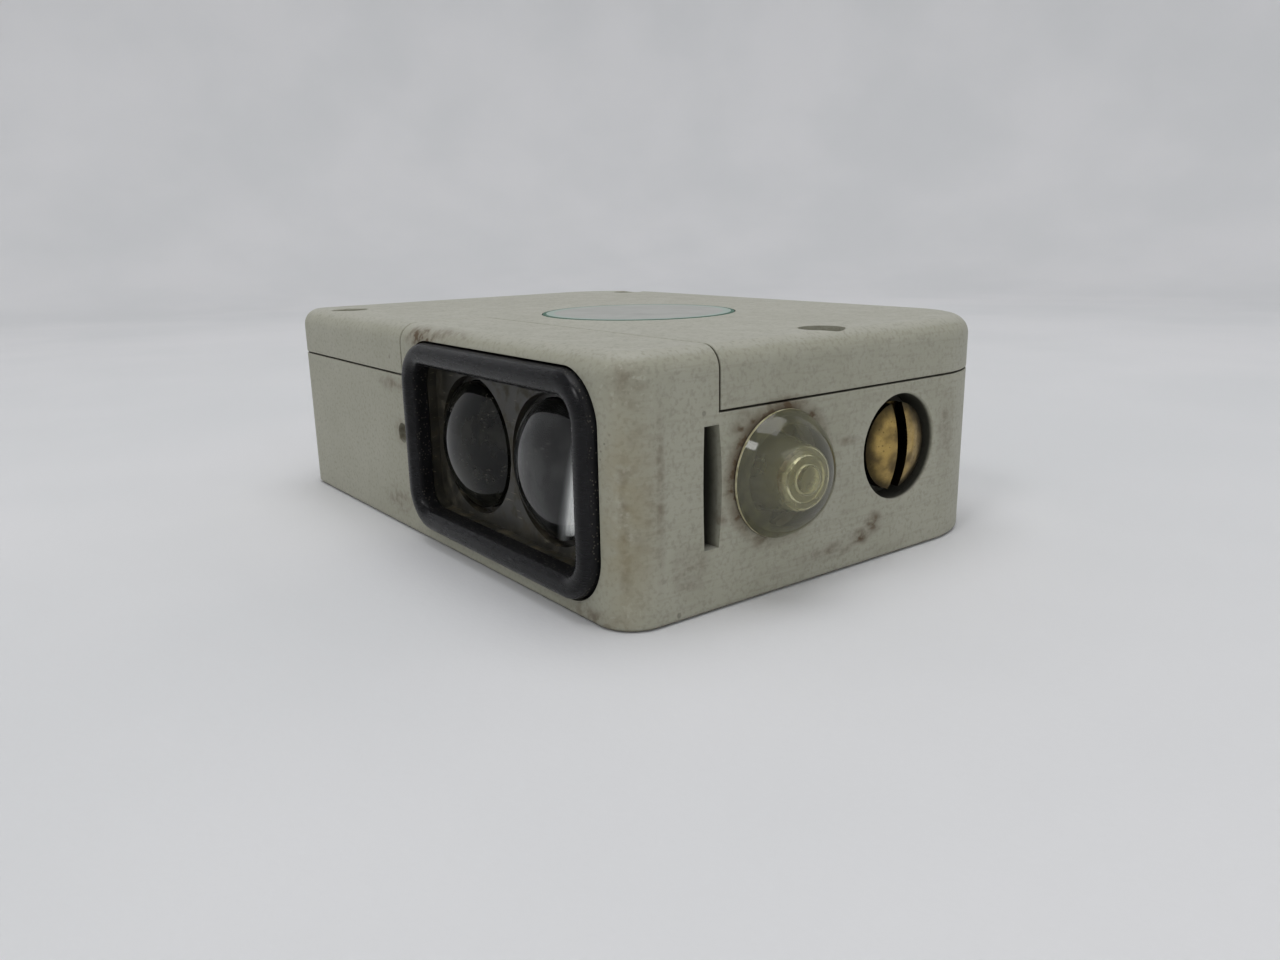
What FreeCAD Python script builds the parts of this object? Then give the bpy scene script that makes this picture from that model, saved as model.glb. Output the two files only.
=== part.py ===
import FreeCAD, Part
import math
import os

# Compact twin-lens photoelectric sensor in a flat grey case.
# Frame: origin on the underside, in the middle of the case's footprint.
# +X points to the end with the indicator and the adjuster, -Y is the face with
# the lenses, +Z is up through the cover. All lengths are in millimetres.

Vector = FreeCAD.Vector

# ---- Driving dimensions -------------------------------------------------
CASE_LENGTH = 81.0          # along X
CASE_WIDTH = 59.0           # along Y
CASE_HEIGHT = 26.0          # along Z
FRONT_CORNER_R = 4.2        # vertical corners at the lens side
BACK_CORNER_R = 13.0        # vertical corners at the back
TOP_EDGE_R = 2.3
BOTTOM_EDGE_R = 0.6
SEAM_EDGE_R = 0.15
RIM_EDGE_R = 0.2
WALL = 2.4
FLOOR = 2.2
ROOF = 2.0
SEAM_Z = 19.8               # middle of the gap between case and cover
SEAM_GAP = 0.2
OPTICS_LENGTH = 44.3        # full-height optics block, from the +X end
OPTICS_DEPTH = 11.6         # and from the front face
OPTICS_CORNER_R = 1.5

WINDOW_LENGTH = 38.8        # outside of the bezel
WINDOW_HEIGHT = 22.4
WINDOW_CORNER_R = 5.0
WINDOW_X = 17.4             # middle of the bezel
BEZEL_BAR = 2.6
BEZEL_PROUD = 1.4
OPTICAL_Z = CASE_HEIGHT / 2
OPTICAL_X = 17.8            # middle of the lens pair
LENS_SPACING = 16.2
LENS_R = 7.2
LENS_SAG = 2.8
LENS_RIM_DEPTH = 2.2        # from the front face back to the edge of the lens dome
LENS_BORE_R = 7.9
SMALL_HOLE_R = 1.25         # blind hole in the front, beside the bezel
SMALL_HOLE_DEPTH = 3.5

END_AXIS_Z = 12.5           # height of the indicator and adjuster axes
DOME_Y = -9.5
DOME_R = 6.55
DOME_PROUD = 4.8
DOME_RIM = 0.3              # height of its straight rim
DOME_STEM_R = 4.2
DOME_BORES = ((2.9, 2.4), (1.4, 3.3))       # radius, and how far past the end face
DOME_SEAL_R = 6.2
DOME_SEAL = 0.5             # depth of its recess
ADJUSTER_Y = 9.0
ADJUSTER_HOLE_R = 5.95
ADJUSTER_HEAD_R = 4.9
SHAFT_R = 2.0
RUNNING_FIT = 0.03
BUSH_R = 3.2
BUSH_LENGTH = 2.7
ADJUSTER_BOSS_R = 7.6

BADGE_X = 4.9
BADGE_R = 12.5
BADGE_THICK = 0.55
BADGE_RECESS = 0.5
COVER_SCREWS = ((36.6, 0.0), (-30.7, -24.9), (-30.7, 24.9))
COUNTERBORE_R = 2.5
COUNTERBORE_DEPTH = 3.6
COVER_SCREW_R = 1.25
INSERT_X = 28.0             # the two threaded inserts sit at plus and minus this
INSERT_Y = 19.0
INSERT_BORE_R = 1.65        # core of an M4 thread
GLAND_Y = 0.0
GLAND_Z = 12.0
GLAND_THREAD_R = 6.2
CABLE_R = 3.0

# ---- Places worked out from them ---------------------------------------
RIGHT = CASE_LENGTH / 2
LEFT = -RIGHT
BACK = CASE_WIDTH / 2
FRONT = -BACK
CASE_TOP = SEAM_Z - SEAM_GAP / 2            # top of the lower shell's walls
COVER_BOTTOM = SEAM_Z + SEAM_GAP / 2
BLOCK_X = RIGHT - OPTICS_LENGTH             # left face of the optics block
BLOCK_Y = FRONT + OPTICS_DEPTH              # back face of the optics block
LEDGE_Y = BLOCK_Y + WALL                    # electronics side of the partition
INNER_RIGHT = RIGHT - WALL
INNER_LEFT = LEFT + WALL
LENS_X = (OPTICAL_X - LENS_SPACING / 2, OPTICAL_X + LENS_SPACING / 2)
LENS_RIM_Y = FRONT + LENS_RIM_DEPTH
POCKET_Y = FRONT + 8.5                      # back of the pocket for the lens holder
BEZEL_GROOVE_Y = FRONT + 1.4
BEZEL_SEAL = 0.4
BEZEL_BACK_Y = BEZEL_GROOVE_Y - BEZEL_SEAL
FLANGE_FRONT_Y = LENS_RIM_Y + 2.3
FLANGE_BACK_Y = FLANGE_FRONT_Y + 1.4
LIGHT_BORE_R = 5.6
CARRIER_BACK_Y = -12.0
OPTICS_BOARD_Y = -9.8
BOARD_Z = 4.6
BOARD_THICK = 1.6
BOARD_TOP = BOARD_Z + BOARD_THICK
ADJUSTER_SEAT_X = RIGHT - 3.2               # bottom of the adjuster's counterbore
POT_FRONT_X = 29.5
POT_BACK_X = 20.0
POT_HALF = 5.4              # half its width, and its top above the axis
GASKET_INSET = 0.7
GASKET_WIDTH = 1.0
GASKET_DEPTH = 0.8
FAR = 200.0                                 # longer than anything in the model


# ---- Shape helpers ------------------------------------------------------
def block(x0, x1, y0, y1, z0, z1):
    return Part.makeBox(x1 - x0, y1 - y0, z1 - z0, Vector(x0, y0, z0))


def rounded_block(x0, x1, y0, y1, z0, z1, radius, axis):
    """Box whose four edges along one axis, "x", "y" or "z", are rounded."""
    shape = block(x0, x1, y0, y1, z0, z1)
    along = {"x": Vector(1, 0, 0), "y": Vector(0, 1, 0), "z": Vector(0, 0, 1)}[axis]
    edges = [e for e in shape.Edges if abs(e.tangentAt(e.FirstParameter).dot(along)) > 0.99]
    return shape.makeFillet(radius, edges)


def rod_x(radius, x0, x1, y, z):
    return Part.makeCylinder(radius, x1 - x0, Vector(x0, y, z), Vector(1, 0, 0))


def rod_y(radius, y0, y1, x, z):
    return Part.makeCylinder(radius, y1 - y0, Vector(x, y0, z), Vector(0, 1, 0))


def rod_z(radius, z0, z1, x, y):
    return Part.makeCylinder(radius, z1 - z0, Vector(x, y, z0), Vector(0, 0, 1))


def ring_x(inner, outer, x0, x1, y, z):
    return rod_x(outer, x0, x1, y, z).cut(rod_x(inner, x0, x1, y, z))


def ring_y(inner, outer, y0, y1, x, z):
    return rod_y(outer, y0, y1, x, z).cut(rod_y(inner, y0, y1, x, z))


def hex_x(across_flats, x0, x1, y, z):
    """Hexagonal prism along X with two flats level."""
    radius = across_flats / math.sqrt(3)
    points = []
    for i in range(7):
        angle = math.radians(60 * i)
        points.append(Vector(x0, y + radius * math.cos(angle), z + radius * math.sin(angle)))
    return Part.Face(Part.makePolygon(points)).extrude(Vector(x1 - x0, 0, 0))


def cap(base_radius, sag, base, direction):
    """Spherical cap standing on a disc of base_radius at base, sag high."""
    sphere_r = (base_radius ** 2 + sag ** 2) / (2 * sag)
    centre = base + direction * (sag - sphere_r)
    return Part.makeSphere(sphere_r, centre).common(
        Part.makeCylinder(base_radius, sag + 1, base, direction))


def joined(shapes):
    """One clean solid from touching shapes."""
    return shapes[0].multiFuse(shapes[1:]).removeSplitter()


def group(shapes):
    """Separate solids kept together as one sub-part."""
    return Part.makeCompound(shapes)


# ---- Outlines of the case ----------------------------------------------
def case_prism(inset, z0, z1):
    """The case's plan outline, moved inwards by inset, between two heights."""
    corners = ((RIGHT, FRONT, FRONT_CORNER_R), (RIGHT, BACK, BACK_CORNER_R),
               (LEFT, BACK, BACK_CORNER_R), (LEFT, FRONT, FRONT_CORNER_R))
    arcs = []
    for i, (x, y, radius) in enumerate(corners):
        centre = Vector(x - math.copysign(radius, x), y - math.copysign(radius, y), z0)
        circle = Part.Circle(centre, Vector(0, 0, 1), radius - inset)
        start = (i - 1) * math.pi / 2
        arcs.append(Part.Arc(circle, start, start + math.pi / 2).toShape())
    edges = []
    for arc, following in zip(arcs, arcs[1:] + arcs[:1]):
        edges += [arc, Part.makeLine(arc.Vertexes[-1].Point, following.Vertexes[0].Point)]
    return Part.Face(Part.Wire(edges)).extrude(Vector(0, 0, z1 - z0))


def optics_prism(grow, z0, z1):
    """Plan of the full-height optics block, its two inner sides moved out by grow."""
    shape = block(BLOCK_X - grow, FAR, -FAR, BLOCK_Y + grow, z0, z1)
    edges = []
    for edge in shape.Edges:
        middle = edge.CenterOfMass
        if abs(middle.x - BLOCK_X + grow) < 1e-6 and abs(middle.y - BLOCK_Y - grow) < 1e-6:
            edges.append(edge)
    return shape.makeFillet(OPTICS_CORNER_R + grow, edges)


def cover_prism(inset, z0, z1):
    """Plan of the cover: the case outline without the optics block."""
    return case_prism(inset, z0, z1).cut(optics_prism(inset, z0, z1))


def case_envelope():
    """Outer form of the closed case, with its rounded top and bottom edges."""
    shape = case_prism(0, 0, CASE_HEIGHT)
    for height, radius in ((CASE_HEIGHT, TOP_EDGE_R), (0, BOTTOM_EDGE_R)):
        edges = [e for e in shape.Edges if abs(e.BoundBox.ZMin - height) < 1e-6
                 and abs(e.BoundBox.ZMax - height) < 1e-6]
        shape = shape.makeFillet(radius, edges)
    return shape


def on_surface(point, shape):
    return Part.Vertex(point).distToShape(shape.Shells[0])[0] < 1e-3


def eased_seam(shape, envelope, level, face_x, face_y):
    """Takes the sharpness off the edges where the seam comes out on the case's surface:
    those at one height, and those on the two faces beside the optics block."""
    edges = []
    for edge in shape.Edges:
        middle = edge.valueAt((edge.FirstParameter + edge.LastParameter) / 2)
        box = edge.BoundBox
        level_edge = abs(box.ZMin - level) < 1e-4 and abs(box.ZMax - level) < 1e-4
        on_x_face = abs(middle.x - face_x) < 1e-3 and middle.y < face_y
        on_y_face = abs(middle.y - face_y) < 1e-3 and middle.x > face_x
        at_corner = (0 <= middle.x - face_x < OPTICS_CORNER_R
                     and 0 <= face_y - middle.y < OPTICS_CORNER_R)
        beside_block = middle.z > level and (on_x_face or on_y_face or at_corner)
        if (level_edge or beside_block) and on_surface(middle, envelope):
            edges.append(edge)
    return shape.makeFillet(SEAM_EDGE_R, edges)


def eased_rims(shape, rims):
    """Rounds the mouths of round holes, each given as (centre, hole radius)."""
    edges = []
    for edge in shape.Edges:
        if edge.Curve.TypeId == "Part::GeomCircle":
            edges += [edge for centre, radius in rims if abs(edge.Curve.Radius - radius) < 1e-4
                      and edge.Curve.Center.distanceToPoint(centre) < 1e-3]
    return shape.makeFillet(RIM_EDGE_R, edges)


def window_prism(grow, y0, y1):
    """The bezel's outline, grown by grow, between two depths."""
    half_length = WINDOW_LENGTH / 2 + grow
    half_height = WINDOW_HEIGHT / 2 + grow
    return rounded_block(WINDOW_X - half_length, WINDOW_X + half_length, y0, y1,
                         OPTICAL_Z - half_height, OPTICAL_Z + half_height,
                         WINDOW_CORNER_R + grow, "y")


# ---- Case ---------------------------------------------------------------
BOARD_SCREWS = ((-10.3, -12.4), (-19.5, 23.0), (17.5, 23.0), (29.5, -1.5))
BOARD_SCREW_R = 1.1
THREAD_FIT = 0.05           # gap all round a screw in its thread
BOSS_R = 3.6
BOARD_PILLAR_R = 2.6
INSERT_BOSS_R = 4.3
INSERT_R = 3.0
INSERT_LENGTH = 7.0
CARRIER_SCREW_Z = (OPTICAL_Z - 3.0, OPTICAL_Z + 3.0)
SLOT_FRONT_Y = -19.8
SLOT_END_WIDTH = 1.85
SLOT_BULGE_FRONT = 0.12
SLOT_BULGE_BACK = 0.38
SLOT_Z = (6.5, 18.6)
SLOT_DEPTH = 7.5


def end_slot():
    """Narrow upright slot in the +X end; its long sides bow outwards slightly."""
    low, high = SLOT_Z
    middle = (low + high) / 2
    back_y = SLOT_FRONT_Y + SLOT_END_WIDTH
    x = RIGHT - SLOT_DEPTH
    corners = [Vector(x, SLOT_FRONT_Y, low), Vector(x, back_y, low),
               Vector(x, back_y, high), Vector(x, SLOT_FRONT_Y, high)]
    front_side = Part.Arc(corners[3], Vector(x, SLOT_FRONT_Y - SLOT_BULGE_FRONT, middle), corners[0])
    back_side = Part.Arc(corners[1], Vector(x, back_y + SLOT_BULGE_BACK, middle), corners[2])
    wire = Part.Wire([front_side.toShape(), Part.makeLine(corners[0], corners[1]),
                      back_side.toShape(), Part.makeLine(corners[2], corners[3])])
    return Part.Face(wire).extrude(Vector(SLOT_DEPTH + 1, 0, 0))


def case_bosses():
    """Pillars inside the lower shell, before their holes."""
    pillars = [rod_z(BOSS_R, FLOOR - 1, CASE_TOP, x, y) for x, y in COVER_SCREWS]
    pillars += [rod_z(BOARD_PILLAR_R, FLOOR - 1, BOARD_Z, x, y) for x, y in BOARD_SCREWS]
    pillars += [rod_z(INSERT_BOSS_R, FLOOR - 1, INSERT_LENGTH + 2, x, INSERT_Y)
                for x in (INSERT_X, -INSERT_X)]
    pillars.append(rod_x(ADJUSTER_BOSS_R, ADJUSTER_SEAT_X - BUSH_LENGTH, RIGHT - 1,
                         ADJUSTER_Y, END_AXIS_Z))
    inside = case_prism(0.5, FLOOR - 1, CASE_TOP)
    return [pillar.common(inside) for pillar in pillars]


def base_housing():
    envelope = case_envelope()
    lower = envelope.common(block(-FAR, FAR, -FAR, FAR, -1, CASE_TOP))
    optics = envelope.common(optics_prism(0, -1, CASE_HEIGHT + 1))
    outside = eased_seam(joined([lower, optics]), envelope, CASE_TOP, BLOCK_X, BLOCK_Y)
    shell = joined([outside.cut(cover_prism(WALL, FLOOR, CASE_TOP + 1))] + case_bosses())
    groove = cover_prism(GASKET_INSET, CASE_TOP - GASKET_DEPTH, CASE_TOP + 1).cut(
        cover_prism(GASKET_INSET + GASKET_WIDTH, CASE_TOP - GASKET_DEPTH, CASE_TOP + 1))
    cuts = [groove, end_slot(), window_prism(0.25, FRONT - 1, BEZEL_GROOVE_Y),
            window_prism(1.05 - BEZEL_BAR, FRONT - 1, POCKET_Y)]
    cuts += [rod_y(LIGHT_BORE_R, POCKET_Y - 1, LEDGE_Y + 1, x, OPTICAL_Z) for x in LENS_X]
    cuts += [rod_y(BOARD_SCREW_R + THREAD_FIT, LEDGE_Y - 4.5, LEDGE_Y + 1, OPTICAL_X, z)
             for z in CARRIER_SCREW_Z]
    cuts += [rod_z(COVER_SCREW_R + THREAD_FIT, CASE_TOP - 12, CASE_TOP + 1, x, y)
             for x, y in COVER_SCREWS]
    cuts += [rod_z(BOARD_SCREW_R + THREAD_FIT, FLOOR - 0.8, BOARD_Z + 1, x, y)
             for x, y in BOARD_SCREWS]
    for x in (INSERT_X, -INSERT_X):
        cuts.append(rod_z(INSERT_R, -1, INSERT_LENGTH, x, INSERT_Y))
        cuts.append(rod_z(INSERT_BORE_R, -1, INSERT_LENGTH + 1, x, INSERT_Y))
    cuts.append(rod_x(DOME_STEM_R + 0.1, INNER_RIGHT - 1, RIGHT + 1, DOME_Y, END_AXIS_Z))
    cuts.append(rod_x(DOME_SEAL_R + 0.1, RIGHT - DOME_SEAL, RIGHT + 1, DOME_Y, END_AXIS_Z))
    cuts.append(rod_x(ADJUSTER_HOLE_R, ADJUSTER_SEAT_X, RIGHT + 1, ADJUSTER_Y, END_AXIS_Z))
    cuts.append(rod_x(BUSH_R, ADJUSTER_SEAT_X - BUSH_LENGTH - 1, RIGHT, ADJUSTER_Y, END_AXIS_Z))
    cuts.append(rod_x(GLAND_THREAD_R + THREAD_FIT, LEFT - 1, INNER_LEFT + 1, GLAND_Y, GLAND_Z))
    cuts.append(rod_y(SMALL_HOLE_R, FRONT - 1, FRONT + SMALL_HOLE_DEPTH, BLOCK_X - 1.2, END_AXIS_Z))
    shell = shell.cut(Part.makeCompound(cuts)).removeSplitter()
    return eased_rims(shell, [(Vector(RIGHT, ADJUSTER_Y, END_AXIS_Z), ADJUSTER_HOLE_R)])


def top_cover():
    envelope = case_envelope().common(block(-FAR, FAR, -FAR, FAR, COVER_BOTTOM, CASE_HEIGHT + 1))
    outside = eased_seam(envelope.cut(optics_prism(SEAM_GAP, 0, CASE_HEIGHT + 1)), case_envelope(),
                         COVER_BOTTOM, BLOCK_X - SEAM_GAP, BLOCK_Y + SEAM_GAP)
    shell = outside.cut(cover_prism(WALL, COVER_BOTTOM - 1, CASE_HEIGHT - ROOF))
    inside = case_prism(0.5, COVER_BOTTOM, CASE_HEIGHT - 0.5)
    pillars = [rod_z(BOSS_R, COVER_BOTTOM, CASE_HEIGHT - 1, x, y).common(inside) for x, y in COVER_SCREWS]
    shell = joined([shell] + pillars)
    cuts = [rod_z(BADGE_R + 0.1, CASE_HEIGHT - BADGE_RECESS, CASE_HEIGHT + 1, BADGE_X, 0)]
    for x, y in COVER_SCREWS:
        cuts.append(rod_z(COVER_SCREW_R + 0.2, COVER_BOTTOM - 1, CASE_HEIGHT, x, y))
        cuts.append(rod_z(COUNTERBORE_R, CASE_HEIGHT - COUNTERBORE_DEPTH, CASE_HEIGHT + 1, x, y))
    shell = shell.cut(Part.makeCompound(cuts)).removeSplitter()
    return eased_rims(shell, [(Vector(x, y, CASE_HEIGHT), COUNTERBORE_R) for x, y in COVER_SCREWS[1:]])


def cover_gasket():
    low = CASE_TOP - GASKET_DEPTH
    return cover_prism(GASKET_INSET, low, COVER_BOTTOM).cut(
        cover_prism(GASKET_INSET + GASKET_WIDTH, low, COVER_BOTTOM))


def slotted_screw(head_r, head_height, shank_r, length, slot):
    """Cheese-head screw, head up, with the underside of its head at the origin."""
    screw = rod_z(head_r, 0, head_height, 0, 0)
    rim = [e for e in screw.Edges if abs(e.BoundBox.ZMin - head_height) < 1e-6]
    screw = screw.makeFillet(head_r * 0.15, rim).fuse(rod_z(shank_r, -length, 0.1, 0, 0))
    cut = block(-head_r - 1, head_r + 1, -slot / 2, slot / 2, head_height * 0.55, head_height + 1)
    return screw.cut(cut).removeSplitter()


def placed(shape, x, y, z, turn=0.0):
    copy = shape.copy()
    copy.rotate(Vector(0, 0, 0), Vector(0, 0, 1), turn)
    copy.translate(Vector(x, y, z))
    return copy


def cover_screws():
    screw = slotted_screw(COUNTERBORE_R - 0.2, 1.8, COVER_SCREW_R, 13.0, 0.7)
    turns = (25.0, 70.0, -40.0)
    return group([placed(screw, x, y, CASE_HEIGHT - COUNTERBORE_DEPTH, turn)
                  for (x, y), turn in zip(COVER_SCREWS, turns)])


def badge_plate():
    base = CASE_HEIGHT - BADGE_RECESS
    plate = rod_z(BADGE_R, base, base + BADGE_THICK, BADGE_X, 0)
    rim = [e for e in plate.Edges if abs(e.BoundBox.ZMin - base - BADGE_THICK) < 1e-6]
    return plate.makeFillet(0.12, rim)


def mounting_inserts():
    inserts = []
    for x in (INSERT_X, -INSERT_X):
        inserts.append(rod_z(INSERT_R, 0.05, INSERT_LENGTH, x, INSERT_Y).cut(
            rod_z(INSERT_BORE_R, -1, INSERT_LENGTH + 1, x, INSERT_Y)))
    return group(inserts)


# ---- Optics -------------------------------------------------------------
def window_bezel():
    crown_y = FRONT - BEZEL_PROUD
    frame = window_prism(0, crown_y, BEZEL_BACK_Y).cut(
        window_prism(-BEZEL_BAR, crown_y - 1, BEZEL_BACK_Y + 1))
    edges = [e for e in frame.Edges if abs(e.BoundBox.YMax - crown_y) < 1e-6]
    return frame.makeFillet(BEZEL_BAR / 2 - 0.1, edges)


def bezel_seal():
    return window_prism(0.15, BEZEL_BACK_Y, BEZEL_GROOVE_Y).cut(
        window_prism(1.15 - BEZEL_BAR, BEZEL_BACK_Y - 1, BEZEL_GROOVE_Y + 1))


def lens_holder():
    """Black carrier pushed into the window: a shallow tray with two stepped bores."""
    tray_y = BEZEL_BACK_Y + 0.1
    body = window_prism(0.95 - BEZEL_BAR, tray_y, POCKET_Y - 0.1)
    cuts = [window_prism(-BEZEL_BAR, tray_y - 1, LENS_RIM_Y)]
    for x in LENS_X:
        cuts.append(rod_y(LENS_BORE_R, LENS_RIM_Y - 1, FLANGE_BACK_Y, x, OPTICAL_Z))
        cuts.append(rod_y(LENS_BORE_R - 1.7, FLANGE_BACK_Y - 1, POCKET_Y + 1, x, OPTICAL_Z))
    return body.cut(Part.makeCompound(cuts)).removeSplitter()


def lens(x):
    dome = cap(LENS_R, LENS_SAG, Vector(x, LENS_RIM_Y, OPTICAL_Z), Vector(0, -1, 0))
    neck = rod_y(LENS_R, LENS_RIM_Y, FLANGE_FRONT_Y, x, OPTICAL_Z)
    flange = rod_y(LENS_BORE_R - 0.1, FLANGE_FRONT_Y, FLANGE_BACK_Y, x, OPTICAL_Z)
    return joined([dome, neck, flange])


def lens_retaining_rings():
    return group([ring_y(LENS_R + 0.15, LENS_BORE_R, FLANGE_FRONT_Y - 1.2, FLANGE_FRONT_Y, x, OPTICAL_Z)
                  for x in LENS_X])


DIODE_R = 2.5
DIODE_FLANGE_R = 2.9
DIODE_TIP_Y = -17.6


def diode_carrier():
    """Black block behind the partition that holds both diodes on the lens axes."""
    body = block(LENS_X[0] - 4.2, LENS_X[1] + 4.2, LEDGE_Y + 0.1, CARRIER_BACK_Y, 7.5, 18.5)
    cuts = [rod_y(DIODE_R + 0.05, LEDGE_Y - 1, CARRIER_BACK_Y + 1, x, OPTICAL_Z) for x in LENS_X]
    cuts += [rod_y(BOARD_SCREW_R + 0.1, LEDGE_Y - 1, CARRIER_BACK_Y + 1, OPTICAL_X, z)
             for z in CARRIER_SCREW_Z]
    return body.cut(Part.makeCompound(cuts))


def diode(x):
    """Round diode with a domed tip, a base flange and two legs into the optics board."""
    shoulder = DIODE_TIP_Y + DIODE_R
    tip = cap(DIODE_R, DIODE_R, Vector(x, shoulder, OPTICAL_Z), Vector(0, -1, 0))
    barrel = rod_y(DIODE_R, shoulder, CARRIER_BACK_Y + 1.2, x, OPTICAL_Z)
    flange = rod_y(DIODE_FLANGE_R, CARRIER_BACK_Y + 0.2, CARRIER_BACK_Y + 1.2, x, OPTICAL_Z)
    legs = [block(x + side - 0.25, x + side + 0.25, CARRIER_BACK_Y + 1.1, OPTICS_BOARD_Y,
                  OPTICAL_Z - 0.25, OPTICAL_Z + 0.25) for side in (-1.27, 1.27)]
    return joined([tip, barrel, flange] + legs)


def optics_board():
    return block(LENS_X[0] - 5.5, LENS_X[1] + 3.4, OPTICS_BOARD_Y, OPTICS_BOARD_Y + BOARD_THICK,
                 BOARD_TOP, 19.5)


def carrier_screws():
    screw = slotted_screw(1.9, 1.3, BOARD_SCREW_R, CARRIER_BACK_Y - LEDGE_Y + 4.0, 0.6)
    screw.rotate(Vector(0, 0, 0), Vector(1, 0, 0), -90)
    return group([placed(screw, OPTICAL_X, CARRIER_BACK_Y, z) for z in CARRIER_SCREW_Z])


# ---- Indicator ----------------------------------------------------------
def indicator_dome():
    """Clear dome on a hollow stem; the hollow steps down to a small round well."""
    rim_x = RIGHT + DOME_RIM
    rim = rod_x(DOME_R, RIGHT, rim_x, DOME_Y, END_AXIS_Z)
    top = cap(DOME_R, DOME_PROUD - DOME_RIM, Vector(rim_x, DOME_Y, END_AXIS_Z), Vector(1, 0, 0))
    stem = rod_x(DOME_STEM_R, INNER_RIGHT - 1.4, RIGHT, DOME_Y, END_AXIS_Z)
    solid = joined([rim, top, stem])
    bores = [rod_x(radius, INNER_RIGHT - 2, RIGHT + reach, DOME_Y, END_AXIS_Z)
             for radius, reach in DOME_BORES]
    clip_groove = ring_x(DOME_STEM_R - 0.4, DOME_STEM_R + 1, INNER_RIGHT - 0.7, INNER_RIGHT - 0.05,
                         DOME_Y, END_AXIS_Z)
    return solid.cut(Part.makeCompound(bores)).cut(clip_groove).removeSplitter()


def dome_seal():
    return ring_x(DOME_STEM_R + 0.1, DOME_SEAL_R, RIGHT - DOME_SEAL, RIGHT, DOME_Y, END_AXIS_Z)


def dome_clip():
    """Spring ring in the stem's groove, open at one side, against the inside of the wall."""
    ring = ring_x(DOME_STEM_R - 0.4, DOME_STEM_R + 1.0, INNER_RIGHT - 0.65, INNER_RIGHT - 0.1,
                  DOME_Y, END_AXIS_Z)
    return ring.cut(block(INNER_RIGHT - 2, RIGHT, DOME_Y - 1.2, DOME_Y + 1.2, 0, END_AXIS_Z))


LAMP_R = 2.4
LAMP_TIP_X = RIGHT + 1.2
LAMP_HOLDER_X = (30.5, 34.6)


def indicator_lamp():
    barrel = rod_x(LAMP_R, LAMP_HOLDER_X[0] + 1.5, LAMP_TIP_X - LAMP_R, DOME_Y, END_AXIS_Z)
    tip = cap(LAMP_R, LAMP_R, Vector(LAMP_TIP_X - LAMP_R, DOME_Y, END_AXIS_Z), Vector(1, 0, 0))
    return joined([barrel, tip])


def lamp_holder():
    x0, x1 = LAMP_HOLDER_X
    body = rounded_block(x0, x1, DOME_Y - 3.2, DOME_Y + 3.2, BOARD_TOP, END_AXIS_Z + 3.6, 0.8, "x")
    return body.cut(rod_x(LAMP_R + 0.05, x0 + 1.5, x1 + 1, DOME_Y, END_AXIS_Z))


# ---- Sensitivity adjuster (turns about X) -------------------------------
BLADE_WIDTH = 3.4
BLADE_THICK = 1.0
BLADE_TIP_X = POT_FRONT_X + 0.45
SHAFT_END_X = BLADE_TIP_X + 1.3
HEAD_BACK_X = ADJUSTER_SEAT_X + 0.5
HEAD_SIDE = 2.0
HEAD_SAG = 1.1
SLOT_WIDTH = 1.7
ROTOR_R = 3.9


def adjuster_screw():
    """Slotted brass head in the counterbore, with a shaft and a flat driving blade."""
    face_x = HEAD_BACK_X + HEAD_SIDE
    head = rod_x(ADJUSTER_HEAD_R, HEAD_BACK_X, face_x, ADJUSTER_Y, END_AXIS_Z)
    crown = cap(ADJUSTER_HEAD_R, HEAD_SAG, Vector(face_x, ADJUSTER_Y, END_AXIS_Z), Vector(1, 0, 0))
    shaft = rod_x(SHAFT_R, SHAFT_END_X, HEAD_BACK_X + 0.1, ADJUSTER_Y, END_AXIS_Z)
    blade = block(BLADE_TIP_X, SHAFT_END_X + 0.1, ADJUSTER_Y - BLADE_THICK / 2,
                  ADJUSTER_Y + BLADE_THICK / 2, END_AXIS_Z - BLADE_WIDTH / 2, END_AXIS_Z + BLADE_WIDTH / 2)
    slot = block(face_x - 0.9, RIGHT + 1, ADJUSTER_Y - SLOT_WIDTH / 2, ADJUSTER_Y + SLOT_WIDTH / 2,
                 0, CASE_HEIGHT)
    return joined([head, crown, shaft, blade]).cut(slot)


def potentiometer_rotor():
    disc = rod_x(ROTOR_R, POT_FRONT_X - 1.35, POT_FRONT_X - 0.1, ADJUSTER_Y, END_AXIS_Z)
    hub = rod_x(2.6, POT_FRONT_X - 0.2, SHAFT_END_X - 0.1, ADJUSTER_Y, END_AXIS_Z)
    half_slot = BLADE_THICK / 2 + 0.05
    slot = block(BLADE_TIP_X - 0.05, SHAFT_END_X + 1, ADJUSTER_Y - half_slot, ADJUSTER_Y + half_slot,
                 0, CASE_HEIGHT)
    return joined([disc, hub]).cut(slot)


def adjuster_bush():
    return ring_x(SHAFT_R + RUNNING_FIT, BUSH_R, ADJUSTER_SEAT_X - BUSH_LENGTH, ADJUSTER_SEAT_X,
                  ADJUSTER_Y, END_AXIS_Z)


def adjuster_seal():
    return ring_x(SHAFT_R + 0.1, 4.2, ADJUSTER_SEAT_X, HEAD_BACK_X - 0.05, ADJUSTER_Y, END_AXIS_Z)


def potentiometer_body():
    body = rounded_block(POT_BACK_X, POT_FRONT_X, ADJUSTER_Y - POT_HALF, ADJUSTER_Y + POT_HALF,
                         BOARD_TOP + 0.6, END_AXIS_Z + POT_HALF, 0.6, "x")
    return body.cut(rod_x(ROTOR_R + 0.1, POT_FRONT_X - 1.4, POT_FRONT_X + 1, ADJUSTER_Y, END_AXIS_Z))


def potentiometer_pins():
    x = POT_BACK_X + 4
    return group([block(x, x + 0.6, ADJUSTER_Y + offset - 0.4, ADJUSTER_Y + offset + 0.4,
                        BOARD_TOP, BOARD_TOP + 0.6) for offset in (-2.5, 0.0, 2.5)])


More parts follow.
